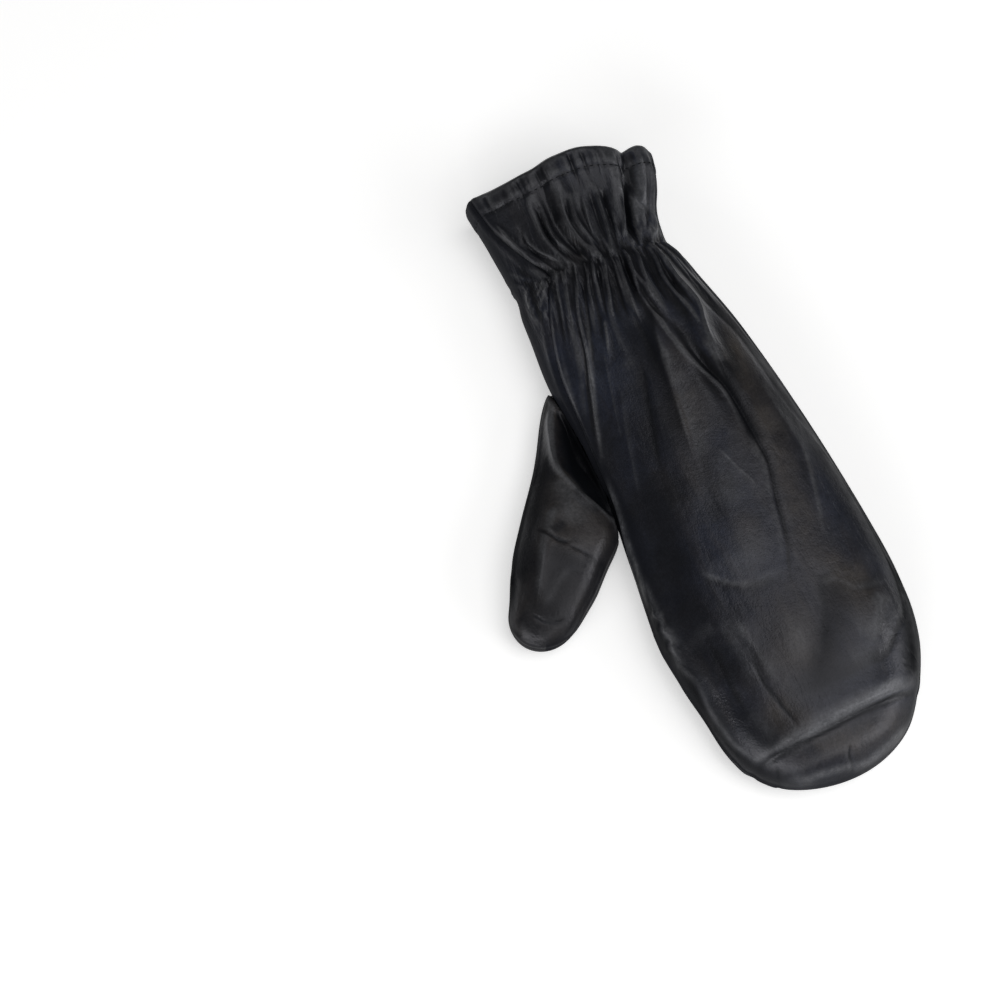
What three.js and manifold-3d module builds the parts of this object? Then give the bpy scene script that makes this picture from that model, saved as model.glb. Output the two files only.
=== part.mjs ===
// A lined leather mitten for the left hand, lying palm down with its fingertips toward -Y and its thumb
// toward -X. Lengths are in millimetres and Z is up. It rests on Z = 0 by its own flattened palm.

import * as THREE from 'three';
import { mergeVertices } from 'three/addons/utils/BufferGeometryUtils.js';
import Module from 'manifold-3d';

const wasm = await Module();
wasm.setup();

// Lengths along the mitten
const cuffLength = 48; // open edge to the elastic row
const handLength = 237; // elastic row to the fingertips
const tipLength = 59; // rounded end over the fingers
const hemWidth = 10; // turned edge of the cuff

// Widths and heights as it lies
const cuffWidth = 82;
const wristWidth = 68;
const bodyWidth = 99;
const cuffHeight = 36;
const wristHeight = 26;
const bodyHeight = 32;

// The thumb is a pocket of its own, sewn into the palm panel
const thumbLength = 121; // with the root that runs on inside the palm
const thumbTipLength = 29;
const thumbWidth = 37;
const thumbHeight = 22;
const thumbLift = 2; // how far its root is held off the table
const thumbAngle = 33; // degrees away from the fingers
const thumbStation = 43.5; // its root's place past the elastic row
const thumbInset = 29.5; // its root's place in from the body's thumb side

// Leather, folds and gaps
const leatherWall = 2; // leather and lining together
const hemWall = 3;
const seamGap = 0.3; // clear between two sewn pieces
const seamGroove = 0.6; // how far a seam pulls the leather in
const foldRise = 5; // tallest gathered fold
const foldBreadth = 4;
const puckerRise = 0.9; // small gathers along the elastic row
const puckerPitch = 8;
const puckerReach = 10;
const pressHeight = 7; // folds die away below this height, where the leather is pressed flat

// How full a section is: higher is squarer
const crownFullness = 2.6;
const underFullness = 7;
const pressedFlat = 0.12; // share of the edge height that the table pushes flat
const coreLevel = 1 / 3; // height inside every section, as a share of it, that tells outside from inside

const leatherColour = 0x23262d;
const palmColour = 0x24262c;
const thumbColour = 0x25272b;

// Sections along the body. at is -1 at the open edge, 0 at the elastic row and 1 at the fingertips. wide and
// tall go from 0, the wrist's size, to 1, the cuff's or the body's. shift is a share of the body's width and
// edge is the height of the widest line as a share of the section's height. A seam's turn is 0 on the crest,
// 1 on the widest line and more under it.
const bodySections = [
  { at: -1.0, wide: 1.02, shift: -0.008, tall: 1.0, edge: 0.38, thumbSeam: 0.8, outerSeam: 0.88 },
  { at: -0.86, wide: 0.9, shift: -0.009, tall: 0.9, edge: 0.39, thumbSeam: 0.79, outerSeam: 0.88 },
  { at: -0.66, wide: 0.63, shift: -0.016, tall: 0.62, edge: 0.41, thumbSeam: 0.75, outerSeam: 0.88 },
  { at: -0.45, wide: 0.3, shift: -0.03, tall: 0.35, edge: 0.43, thumbSeam: 0.64, outerSeam: 0.88 },
  { at: -0.22, wide: 0.1, shift: -0.034, tall: 0.1, edge: 0.45, thumbSeam: 0.51, outerSeam: 0.87 },
  { at: 0.0, wide: 0.02, shift: -0.031, tall: 0.0, edge: 0.46, thumbSeam: 0.4, outerSeam: 0.85 },
  { at: 0.03, wide: 0.16, shift: -0.022, tall: 0.1, edge: 0.45, thumbSeam: 0.47, outerSeam: 0.82 },
  { at: 0.077, wide: 0.27, shift: -0.012, tall: 0.25, edge: 0.44, thumbSeam: 0.57, outerSeam: 0.78 },
  { at: 0.173, wide: 0.49, shift: 0.01, tall: 0.55, edge: 0.4, thumbSeam: 0.7, outerSeam: 0.78 },
  { at: 0.263, wide: 0.55, shift: 0.037, tall: 0.8, edge: 0.36, thumbSeam: 0.8, outerSeam: 0.82 },
  { at: 0.352, wide: 0.62, shift: 0.056, tall: 0.92, edge: 0.35, thumbSeam: 0.86, outerSeam: 0.87 },
  { at: 0.438, wide: 0.69, shift: 0.068, tall: 0.98, edge: 0.34, thumbSeam: 0.93, outerSeam: 0.9 },
  { at: 0.52, wide: 0.81, shift: 0.067, tall: 1.0, edge: 0.34, thumbSeam: 1.02, outerSeam: 0.9 },
  { at: 0.61, wide: 0.93, shift: 0.063, tall: 1.0, edge: 0.34, thumbSeam: 1.07, outerSeam: 0.91 },
  { at: 0.69, wide: 1.0, shift: 0.06, tall: 0.98, edge: 0.33, thumbSeam: 1.07, outerSeam: 0.93 },
  { at: 0.76, wide: 0.92, shift: 0.065, tall: 0.94, edge: 0.32, thumbSeam: 1.07, outerSeam: 0.96 },
  { at: 0.83, wide: 0.87, shift: 0.063, tall: 0.86, edge: 0.31, thumbSeam: 1.07, outerSeam: 1.0 },
  { at: 0.9, wide: 0.96, shift: 0.039, tall: 0.74, edge: 0.3, thumbSeam: 1.07, outerSeam: 1.04 },
  { at: 0.96, wide: 1.16, shift: 0.026, tall: 0.66, edge: 0.29, thumbSeam: 1.07, outerSeam: 1.07 },
  { at: 1.0, wide: 1.18, shift: 0.026, tall: 0.62, edge: 0.28, thumbSeam: 1.07, outerSeam: 1.07 },
];

// Sections along the thumb, from its root at 0 to its tip at 1. wide and shift are shares of the thumb's
// width, tall of its height and lift of its lift.
const thumbSections = [
  { at: 0.0, wide: 0.9, shift: 0.0, tall: 0.5, edge: 0.45, lift: 1.0, outerSeam: 0.95, innerSeam: 0.95 },
  { at: 0.16, wide: 1.0, shift: 0.0, tall: 0.55, edge: 0.44, lift: 1.0, outerSeam: 0.95, innerSeam: 0.95 },
  { at: 0.39, wide: 1.03, shift: 0.04, tall: 0.68, edge: 0.42, lift: 0.8, outerSeam: 0.95, innerSeam: 0.95 },
  { at: 0.57, wide: 1.08, shift: 0.045, tall: 0.9, edge: 0.4, lift: 0.4, outerSeam: 0.95, innerSeam: 0.95 },
  { at: 0.7, wide: 1.0, shift: 0.0, tall: 1.0, edge: 0.4, lift: 0.1, outerSeam: 0.95, innerSeam: 0.95 },
  { at: 0.76, wide: 0.945, shift: -0.01, tall: 0.98, edge: 0.4, lift: 0.0, outerSeam: 0.95, innerSeam: 0.95 },
  { at: 0.86, wide: 0.88, shift: -0.035, tall: 0.9, edge: 0.42, lift: 0.0, outerSeam: 0.97, innerSeam: 0.97 },
  { at: 0.94, wide: 0.95, shift: -0.065, tall: 0.8, edge: 0.45, lift: 0.0, outerSeam: 1.0, innerSeam: 1.0 },
  { at: 1.0, wide: 1.0, shift: -0.07, tall: 0.75, edge: 0.47, lift: 0.0, outerSeam: 1.0, innerSeam: 1.0 },
];

// Setback of the open edge, as a share of the hem's width, across the cuff from thumb side to outer side
const edgeSetbacks = [
  { across: -1.0, back: 0.0 },
  { across: -0.75, back: 0.4 },
  { across: -0.4, back: 0.4 },
  { across: 0.2, back: 0.1 },
  { across: 0.5, back: 0.42 },
  { across: 0.68, back: 0.66 },
  { across: 0.88, back: 0.48 },
  { across: 1.0, back: 0.75 },
];

// Gathered folds over the back of the hand. near and far are stations as at is, and start, middle and end
// are places across. rise and breadth are shares of foldRise and foldBreadth, and a negative rise is a dent.
const cuffFolds = [
  { near: 0.03, far: -1.2, start: -0.3, middle: -0.6, end: -0.72, rise: 0.35, breadth: 1.0 },
  { near: 0.02, far: -1.0, start: -0.23, middle: -0.44, end: -0.38, rise: 0.55, breadth: 0.8 },
  { near: 0.03, far: -1.3, start: 0.08, middle: -0.12, end: -0.1, rise: 1.0, breadth: 1.0 },
  { near: 0.0, far: -1.1, start: -0.08, middle: -0.27, end: -0.25, rise: -0.7, breadth: 0.8 },
  { near: 0.02, far: -0.9, start: 0.23, middle: 0.21, end: 0.26, rise: 0.4, breadth: 0.8 },
  { near: 0.02, far: -1.2, start: 0.49, middle: 0.52, end: 0.4, rise: 0.55, breadth: 0.8 },
  { near: 0.01, far: -2.2, start: 0.54, middle: 0.74, end: 0.8, rise: -1.25, breadth: 1.05 },
  { near: 0.01, far: -1.6, start: 0.8, middle: 0.87, end: 0.9, rise: 0.7, breadth: 1.1 },
];
const handFolds = [
  { near: -0.04, far: 0.12, start: -0.48, middle: -0.56, end: -0.62, rise: 0.3, breadth: 0.6 },
  { near: -0.06, far: 0.3, start: -0.36, middle: -0.62, end: -0.76, rise: 0.5, breadth: 0.8 },
  { near: -0.04, far: 0.2, start: -0.24, middle: -0.38, end: -0.46, rise: 0.35, breadth: 0.7 },
  { near: -0.06, far: 0.26, start: -0.06, middle: -0.22, end: -0.3, rise: 0.5, breadth: 0.8 },
  { near: -0.04, far: 0.3, start: 0.1, middle: 0.05, end: -0.02, rise: 0.45, breadth: 0.9 },
  { near: -0.06, far: 0.42, start: 0.42, middle: 0.24, end: 0.22, rise: 0.6, breadth: 1.0 },
  { near: -0.04, far: 0.22, start: 0.64, middle: 0.66, end: 0.62, rise: 0.5, breadth: 0.8 },
  { near: 0.08, far: 0.62, start: 0.66, middle: 0.4, end: 0.26, rise: 0.6, breadth: 1.3 },
  { near: 0.08, far: 0.62, start: 0.2, middle: 0.34, end: 0.3, rise: -0.5, breadth: 1.2 },
  { near: 0.1, far: 0.62, start: 0.06, middle: -0.14, end: -0.3, rise: -0.45, breadth: 1.3 },
];

// The crease where the leather turns down over the fingertips, from thumb side to outer side: a ridge
// above and a dent below the crease line
const tipCrease = {
  thumbSide: 0.93,
  outerSide: 0.9,
  ridge: 0.32,
  ridgeOffset: 1.7, // above the crease line, in breadths
  dent: -0.28,
  dentSharpness: 2,
  breadth: 1.2,
  sideFade: 1.3,
};

// The thumb's ridge and the hollow between it and the palm, in the same columns, with at from 0 to 1
const thumbFolds = [
  { near: -0.1, far: 0.66, start: -1.0, middle: -0.75, end: 0.8, rise: 0.5, breadth: 1.0 },
  { near: -0.1, far: 0.62, start: -0.5, middle: 0.0, end: 1.3, rise: -0.5, breadth: 2.2 },
  { near: 0.5, far: 1.1, start: -0.4, middle: -0.36, end: -0.2, rise: 0.2, breadth: 1.2 },
];

const quarterTurn = Math.PI / 2;
const smallStep = 1e-3;
const foldTaper = { near: 0.6, far: 1.4 }; // a fold is narrow at the elastic and broad where it dies away
const rowCounts = { cuff: 11, gathers: 10, hand: 10, fingertips: 12, thumb: 10, thumbTip: 6 };
const columnCounts = { body: 26, thumb: 12 };
const gathersEnd = cuffLength + handLength / 5;

const bodyStation = (at) => cuffLength + at * (at < 0 ? cuffLength : handLength);

const thumbStationAt = (at) => at * thumbLength;

const between = (low, high, share) => low + (high - low) * share;

const softStep = (share) => THREE.MathUtils.smoothstep(share, 0, 1);

// A smooth curve through a table's rows
function tableCurve(places, rows) {
  return new THREE.CubicInterpolant(places, rows.flat(), rows[0].length);
}

const setbackCurve = tableCurve(
  edgeSetbacks.map((row) => row.across),
  edgeSetbacks.map((row) => [row.back * hemWidth]),
);

// Height of one fold above the plain leather, share across and station along
function foldHeight(fold, stationAt, share, station, halfWidth) {
  const near = stationAt(fold.near);
  const far = stationAt(fold.far);
  const t = (station - near) / (far - near);
  if (t <= 0 || t >= 1) return 0;
  const nearPart = fold.start * (1 - t) * (1 - 2 * t);
  const farPart = fold.end * t * (2 * t - 1);
  const path = nearPart + fold.middle * 4 * t * (1 - t) + farPart;
  const breadth = foldBreadth * fold.breadth * between(foldTaper.near, foldTaper.far, t);
  const away = ((share - path) * halfWidth) / breadth;
  return foldRise * fold.rise * Math.sin(Math.PI * Math.sqrt(t)) * Math.exp(-away * away);
}

function creaseHeight(share, station) {
  const line = bodyStation(between(tipCrease.thumbSide, tipCrease.outerSide, (share + 1) / 2));
  const breadth = foldBreadth * tipCrease.breadth;
  const above = (station - line) / breadth + tipCrease.ridgeOffset;
  const below = (station - line) / breadth;
  const ridge = tipCrease.ridge * Math.exp(-above * above);
  const dent = tipCrease.dent * Math.exp(-below * below * tipCrease.dentSharpness);
  return foldRise * (ridge + dent) * softStep(tipCrease.sideFade * (1 - Math.abs(share)));
}

function puckerHeight(share, station) {
  const away = Math.abs(station - cuffLength) / puckerReach;
  return puckerRise * Math.cos((Math.PI * share * wristWidth) / puckerPitch) * Math.exp(-away);
}

function sumOfFolds(folds, stationAt, share, station, halfWidth) {
  return folds.reduce((sum, fold) => sum + foldHeight(fold, stationAt, share, station, halfWidth), 0);
}

function bodyFoldHeight(share, station, halfWidth) {
  const gathered = sumOfFolds([...cuffFolds, ...handFolds], bodyStation, share, station, halfWidth);
  return gathered + puckerHeight(share, station) + creaseHeight(share, station);
}

// A pocket is a flattened sock: open at run 0, straight to the start of its tip, then closed and rounded
const body = {
  length: cuffLength + handLength,
  tip: tipLength,
  curve: tableCurve(
    bodySections.map((row) => bodyStation(row.at)),
    bodySections.map((row) => {
      const width = between(wristWidth, row.at < 0 ? cuffWidth : bodyWidth, row.wide);
      const height = between(wristHeight, row.at < 0 ? cuffHeight : bodyHeight, row.tall);
      return [width / 2, row.shift * bodyWidth, height, row.edge * height, 0, row.thumbSeam, row.outerSeam];
    }),
  ),
  foldHeight: bodyFoldHeight,
  wall: (station) => between(hemWall, leatherWall, softStep(station - hemWidth)),
  setback: (share, station) => setbackCurve.evaluate(share)[0] * Math.max(0, 1 - station / cuffLength),
  placing: new THREE.Matrix4(),
};

const thumb = {
  length: thumbLength,
  tip: thumbTipLength,
  curve: tableCurve(
    thumbSections.map((row) => thumbStationAt(row.at)),
    thumbSections.map((row) => {
      const height = row.tall * thumbHeight;
      const half = (row.wide * thumbWidth) / 2;
      const lift = row.lift * thumbLift;
      return [half, row.shift * thumbWidth, height, row.edge * height, lift, row.outerSeam, row.innerSeam];
    }),
  ),
  foldHeight: (share, station, half) => sumOfFolds(thumbFolds, thumbStationAt, share, station, half),
  wall: () => leatherWall,
  setback: () => 0,
  placing: new THREE.Matrix4()
    .makeTranslation(thumbInset - bodyWidth / 2, -cuffLength - thumbStation, 0)
    .multiply(new THREE.Matrix4().makeRotationZ(-THREE.MathUtils.degToRad(thumbAngle))),
};

// Where a grid point lies on a pocket: how far along its straight part, which way its section heads from the
// middle (past the straight part, a direction in the plane) and its reach, 0 at the middle and 1 at the seam
function gridPlace(pocket, run, across) {
  const tipStart = pocket.length - pocket.tip;
  const past = Math.max(0, (run - tipStart) / pocket.tip);
  const flatX = across * Math.sqrt(1 - (past * past) / 2);
  const flatY = past * Math.sqrt(1 - (across * across) / 2);
  const heading = Math.atan2(flatY, flatX);
  return { straight: Math.min(run, tipStart), heading, reach: Math.hypot(flatX, flatY) };
}

// The plain leather of a pocket, where turn is 0 on the crest, 1 at the widest line and 2 underneath
function pocketPlace(pocket, straight, heading, turn) {
  const spread = Math.sin(turn * quarterTurn);
  const station = straight + Math.sin(heading) * spread * pocket.tip;
  const share = Math.cos(heading) * spread;
  const [half, middle, height, edge, lift] = pocket.curve.evaluate(station);
  const bulge = (fullness) => Math.sqrt(Math.max(0, 1 - Math.abs(spread) ** fullness));
  const over = edge + (height - edge) * bulge(crownFullness);
  const under = edge * (1 - (1 + pressedFlat) * bulge(underFullness));
  const up = lift + (turn < 1 ? over : Math.max(0, under));
  const point = new THREE.Vector3(middle + share * half, -station - pocket.setback(share, station), up);
  const core = new THREE.Vector3(middle, -straight, lift + height * coreLevel);
  return { point, share, station, half, up, outward: point.clone().sub(core) };
}

function pocketNormal(pocket, straight, heading, turn, outward) {
  const at = (alongStep, headingStep, turnStep) =>
    pocketPlace(pocket, straight + alongStep, heading + headingStep, turn + turnStep).point;
  const inTip = Math.abs(Math.sin(heading)) > smallStep;
  const step = inTip ? [0, smallStep] : [smallStep, 0];
  const along = at(step[0], step[1], 0).sub(at(-step[0], -step[1], 0));
  const over = at(0, 0, smallStep).sub(at(0, 0, -smallStep));
  const normal = along.cross(over).normalize();
  return normal.dot(outward) < 0 ? normal.negate() : normal;
}

// Outer and inner points of one panel, row by row. side is 1 over the top and -1 underneath. seamTurn, where
// it is given, puts the seam there instead of where the table has it, and out moves the outer face outward.
function panelPoints(pocket, runs, columns, side, { seamTurn, out = 0 } = {}) {
  const pointAt = (run, across) => {
    const { straight, heading, reach } = gridPlace(pocket, run, across);
    const rim = pocket.curve.evaluate(straight + Math.sin(heading) * pocket.tip);
    const seam = seamTurn ?? between(rim[5], rim[6], (Math.cos(heading) + 1) / 2);
    const turn = side > 0 ? reach * seam : 2 - reach * (2 - seam);
    const { point, share, station, half, up, outward } = pocketPlace(pocket, straight, heading, turn);
    const normal = pocketNormal(pocket, straight, heading, turn, outward);
    const fold = pocket.foldHeight(share, station, half) * softStep(up / pressHeight);
    const outer = point.clone().addScaledVector(normal, fold + out);
    const inner = point.clone().addScaledVector(normal, fold - pocket.wall(station));
    outer.z = Math.max(-out, outer.z);
    return { outer, inner, normal };
  };
  return runs.map((run) => columns.map((across) => pointAt(run, across)));
}

// Draws the seam edges of a panel half a gap back from the seam, and sinks them into its groove
function openSeam(points) {
  const lastRow = points.length - 1;
  const lastColumn = points[0].length - 1;
  const moves = [];
  const edge = (row, column, inRow, inColumn) => {
    const here = points[row][column];
    const next = points[inRow][inColumn];
    const back = next.outer.clone().sub(here.outer).setLength(seamGap / 2);
    moves.push([here, back]);
  };
  for (let row = 0; row < lastRow; row += 1) {
    edge(row, 0, row, 1);
    edge(row, lastColumn, row, lastColumn - 1);
  }
  for (let column = 0; column <= lastColumn; column += 1) {
    edge(lastRow, column, lastRow - 1, THREE.MathUtils.clamp(column, 1, lastColumn - 1));
  }
  for (const [here, back] of moves) {
    here.outer.add(back);
    here.inner.add(back);
    if (here.outer.z > seamGroove) here.outer.addScaledVector(here.normal, -seamGroove);
  }
}

// A closed sheet of leather from its outer and inner points
function sheetGeometry(points, side) {
  const rows = points.length;
  const columns = points[0].length;
  const positions = [];
  for (const row of points) for (const { outer } of row) positions.push(...outer.toArray());
  for (const row of points) for (const { inner } of row) positions.push(...inner.toArray());
  const face = (row, column) => row * columns + column;
  const back = (row, column) => rows * columns + face(row, column);
  const triangles = [];
  const quad = (a, b, c, d) => {
    if (side > 0) triangles.push(a, b, c, a, c, d);
    else triangles.push(a, c, b, a, d, c);
  };
  const lastRow = rows - 1;
  const lastColumn = columns - 1;
  for (let row = 0; row < lastRow; row += 1) {
    for (let column = 0; column < lastColumn; column += 1) {
      quad(face(row, column), face(row + 1, column), face(row + 1, column + 1), face(row, column + 1));
      quad(back(row, column), back(row, column + 1), back(row + 1, column + 1), back(row + 1, column));
    }
    quad(face(row, 0), back(row, 0), back(row + 1, 0), face(row + 1, 0));
    quad(face(row + 1, lastColumn), back(row + 1, lastColumn), back(row, lastColumn), face(row, lastColumn));
  }
  for (let column = 0; column < lastColumn; column += 1) {
    quad(face(0, column + 1), back(0, column + 1), back(0, column), face(0, column));
    quad(face(lastRow, column), back(lastRow, column), back(lastRow, column + 1), face(lastRow, column + 1));
  }
  const geometry = new THREE.BufferGeometry();
  geometry.setAttribute('position', new THREE.Float32BufferAttribute(positions, 3));
  geometry.setIndex(triangles);
  return geometry;
}

// A pocket's whole inside or outside as one block, to cut with
function pocketBlock(pocket, runs, columns, out) {
  const top = panelPoints(pocket, runs, columns, 1, { seamTurn: 1, out });
  const under = panelPoints(pocket, runs, columns, -1, { seamTurn: 1, out });
  const lastColumn = columns.length - 1;
  under.forEach((row, down) => {
    row[0] = top[down][0];
    row[lastColumn] = top[down][lastColumn];
  });
  under[runs.length - 1] = top[runs.length - 1];
  const positions = [];
  const triangle = (a, b, c) => positions.push(...a.toArray(), ...b.toArray(), ...c.toArray());
  const quad = (a, b, c, d) => {
    triangle(a, b, c);
    triangle(a, c, d);
  };
  for (let row = 0; row + 1 < runs.length; row += 1) {
    for (let column = 0; column + 1 < columns.length; column += 1) {
      const corner = (points, down, right) => points[row + down][column + right].outer;
      quad(corner(top, 0, 0), corner(top, 1, 0), corner(top, 1, 1), corner(top, 0, 1));
      quad(corner(under, 0, 0), corner(under, 0, 1), corner(under, 1, 1), corner(under, 1, 0));
    }
  }
  for (let column = 0; column + 1 < columns.length; column += 1) {
    const [low, lowNext] = [under[0][column].outer, under[0][column + 1].outer];
    quad(low, top[0][column].outer, top[0][column + 1].outer, lowNext);
  }
  const geometry = new THREE.BufferGeometry();
  geometry.setAttribute('position', new THREE.Float32BufferAttribute(positions, 3));
  return geometry;
}

function toSolid(geometry, placing) {
  const merged = mergeVertices(geometry.clone().applyMatrix4(placing), smallStep);
  const index = [...merged.index.array];
  const triVerts = [];
  for (let corner = 0; corner < index.length; corner += 3) {
    const [a, b, c] = index.slice(corner, corner + 3);
    if (a !== b && b !== c && c !== a) triVerts.push(a, b, c);
  }
  const vertProperties = new Float32Array(merged.attributes.position.array);
  const mesh = new wasm.Mesh({ numProp: 3, vertProperties, triVerts: new Uint32Array(triVerts) });
  return new wasm.Manifold(mesh);
}

function toGeometry(solid) {
  const mesh = solid.getMesh();
  const geometry = new THREE.BufferGeometry();
  geometry.setAttribute('position', new THREE.Float32BufferAttribute(mesh.vertProperties, 3));
  geometry.setIndex([...mesh.triVerts]);
  return geometry;
}

// Even steps from low to high, with both ends
function steps(low, high, count) {
  return Array.from({ length: count + 1 }, (_, i) => between(low, high, i / count));
}

// Columns across a panel, closer together toward its seams
function panelColumns(count) {
  return steps(-1, 1, count).map((share) => Math.asin((5 * share - share ** 5) / 4) / quarterTurn);
}

// Rows along a pocket: so many between each two stops
function evenRuns(stops, counts) {
  return counts.flatMap((count, i) => steps(stops[i], stops[i + 1], count).slice(i === 0 ? 0 : 1));
}

const bodyRuns = evenRuns(
  [0, cuffLength, gathersEnd, body.length - tipLength, body.length],
  [rowCounts.cuff, rowCounts.gathers, rowCounts.hand, rowCounts.fingertips],
);
const bodyColumns = panelColumns(columnCounts.body);
const thumbRuns = evenRuns(
  [0, thumbLength - thumbTipLength, thumbLength],
  [rowCounts.thumb, rowCounts.thumbTip],
);
const thumbColumns = panelColumns(columnCounts.thumb);

function bodyPanel(side) {
  const points = panelPoints(body, bodyRuns, bodyColumns, side);
  openSeam(points);
  return sheetGeometry(points, side);
}

// A thumb panel ends at the palm that it is sewn to
function thumbPanel(side) {
  const points = panelPoints(thumb, thumbRuns, thumbColumns, side);
  openSeam(points);
  const panel = toSolid(sheetGeometry(points, side), thumb.placing);
  const bodyOutside = toSolid(pocketBlock(body, bodyRuns, bodyColumns, seamGap), body.placing);
  return toGeometry(panel.subtract(bodyOutside));
}

// The palm panel has a hole as wide as the thumb's inside
function palmPanel() {
  const palm = toSolid(bodyPanel(-1), body.placing);
  const thumbInside = toSolid(pocketBlock(thumb, thumbRuns, thumbColumns, -leatherWall), thumb.placing);
  return toGeometry(palm.subtract(thumbInside));
}

function leather(name, colour, geometry) {
  const material = new THREE.MeshStandardMaterial({ color: colour, roughness: 0.42, metalness: 0 });
  const mesh = new THREE.Mesh(geometry, material);
  mesh.name = name;
  return mesh;
}

const mitten = new THREE.Group();
mitten.add(
  leather('back_panel', leatherColour, bodyPanel(1)),
  leather('palm_panel', palmColour, palmPanel()),
  leather('thumb_outer', thumbColour, thumbPanel(1)),
  leather('thumb_inner', thumbColour, thumbPanel(-1)),
);

// The origin is the middle of the mitten's box, on the table
const box = new THREE.Box3().setFromObject(mitten);
const centre = box.getCenter(new THREE.Vector3());
mitten.position.set(-centre.x, -centre.y, -box.min.z);

export default mitten;
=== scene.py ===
import math

import bmesh
import bpy
import numpy as np
from mathutils import Matrix, Vector


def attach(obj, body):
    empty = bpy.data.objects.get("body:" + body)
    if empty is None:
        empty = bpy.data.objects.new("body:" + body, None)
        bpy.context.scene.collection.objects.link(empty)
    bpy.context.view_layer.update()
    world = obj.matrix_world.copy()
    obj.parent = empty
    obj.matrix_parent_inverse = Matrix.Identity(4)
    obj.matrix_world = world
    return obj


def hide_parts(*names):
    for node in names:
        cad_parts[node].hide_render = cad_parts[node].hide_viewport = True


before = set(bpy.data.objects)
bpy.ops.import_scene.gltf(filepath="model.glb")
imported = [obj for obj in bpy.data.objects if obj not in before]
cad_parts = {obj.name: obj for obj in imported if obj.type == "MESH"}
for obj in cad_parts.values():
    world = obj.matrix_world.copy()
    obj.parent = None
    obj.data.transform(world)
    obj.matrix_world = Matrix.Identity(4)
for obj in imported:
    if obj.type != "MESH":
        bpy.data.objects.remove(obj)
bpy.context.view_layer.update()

mm = 0.001
quarterTurn = math.pi / 2

# the mitten's own measures, in mm, as the solids have them
mitten = {
    "cuffLength": 48, "handLength": 237, "tipLength": 59, "hemWidth": 10,
    "cuffWidth": 82, "wristWidth": 68, "bodyWidth": 99,
    "cuffHeight": 36, "wristHeight": 26, "bodyHeight": 32,
    "leatherWall": 2, "hemWall": 3, "seamGap": 0.14, "seamGroove": 0.35,
    "foldRise": 5, "foldBreadth": 4, "foldSoftness": 0.7,
    "puckerRise": 0.18, "puckerPitch": 8, "puckerReach": 10, "pressHeight": 7,
    "crownFullness": 2.6, "underFullness": 7, "pressedFlat": 0.12, "coreLevel": 1 / 3,
    "originX": 19.1936, "originY": 142.4245,     # from the open edge's middle to the middle of the whole box
}
thumbShape = {
    "length": 121, "tipLength": 29, "width": 37, "height": 22, "lift": 2,
    "angle": 33, "station": 43.5, "inset": 29.5,
}

# at, wide, shift, tall, edge, thumbSeam, outerSeam
bodySections = [
    (-1, 1.02, -.008, 1, .38, .8, .88),
    (-.86, .9, -.009, .9, .39, .79, .88),
    (-.66, .63, -.016, .62, .41, .75, .88),
    (-.45, .3, -.03, .35, .43, .64, .88),
    (-.22, .1, -.034, .1, .45, .51, .87),
    (0, .02, -.031, 0, .46, .4, .85),
    (.03, .16, -.022, .1, .45, .47, .82),
    (.077, .27, -.012, .25, .44, .57, .78),
    (.173, .49, .01, .55, .4, .7, .78),
    (.263, .55, .037, .8, .36, .8, .82),
    (.352, .62, .056, .92, .35, .86, .87),
    (.438, .69, .068, .98, .34, .93, .9),
    (.52, .81, .067, 1, .34, 1.02, .9),
    (.61, .93, .063, 1, .34, 1.07, .91),
    (.69, 1, .06, .98, .33, 1.07, .93),
    (.76, .92, .065, .94, .32, 1.07, .96),
    (.83, .87, .063, .86, .31, 1.07, 1),
    (.9, .96, .039, .74, .3, 1.07, 1.04),
    (.96, 1.16, .026, .66, .29, 1.07, 1.07),
    (1, 1.18, .026, .62, .28, 1.07, 1.07),
]
# at, wide, shift, tall, edge, lift, outerSeam, innerSeam
thumbSections = [
    (0, .9, 0, .5, .45, 1, .95, .95), (.16, 1, 0, .55, .44, 1, .95, .95),
    (.39, 1.03, .04, .68, .42, .8, .95, .95), (.57, 1.08, .045, .9, .4, .4, .95, .95),
    (.7, 1, 0, 1, .4, .1, .95, .95), (.76, .945, -.01, .98, .4, 0, .95, .95),
    (.86, .88, -.035, .9, .42, 0, .97, .97), (.94, .95, -.065, .8, .45, 0, 1, 1),
    (1, 1, -.07, .75, .47, 0, 1, 1),
]
# across, back as a share of the hem's width
edgeSetbacks = [
    (-1, 0), (-.75, .4), (-.4, .4), (.2, .1), (.5, .42), (.68, .66), (.88, .48), (1, .75),
]

# big gathered folds: near, far, start, middle, end, rise, breadth
bigFolds = [
    (.03, -1.2, -.3, -.6, -.72, .35, 1), (.02, -1, -.23, -.44, -.38, .55, .8),
    (.03, -1.3, .08, -.12, -.1, 1, 1), (0, -1.1, -.08, -.27, -.25, -.7, .8),
    (.02, -.9, .23, .21, .26, .4, .8), (.02, -1.2, .49, .52, .4, .55, .8),
    (.01, -2.2, .54, .74, .8, -1.25, 1.05), (.01, -1.6, .8, .87, .9, .7, 1.1),
    (-.04, .12, -.48, -.56, -.62, .3, .6), (-.06, .3, -.36, -.62, -.76, .5, .8),
    (-.04, .2, -.24, -.38, -.46, .35, .7), (-.06, .26, -.06, -.22, -.3, .5, .8),
    (-.04, .3, .1, .05, -.02, .45, .9), (-.06, .42, .42, .24, .22, .6, 1),
    (-.04, .22, .64, .66, .62, .5, .8), (.08, .62, .66, .4, .26, .6, 1.3),
    (.08, .62, .2, .34, .3, -.5, 1.2), (.1, .62, .06, -.14, -.3, -.45, 1.3),
]
thumbBigFolds = [
    (-.1, .66, -1, -.75, .8, .15, 1),
    (-.1, .62, -.4, .1, 1.3, -.7, 2.2),
    (.5, 1.1, -.4, -.36, -.2, .2, 1.2),
]
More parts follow.
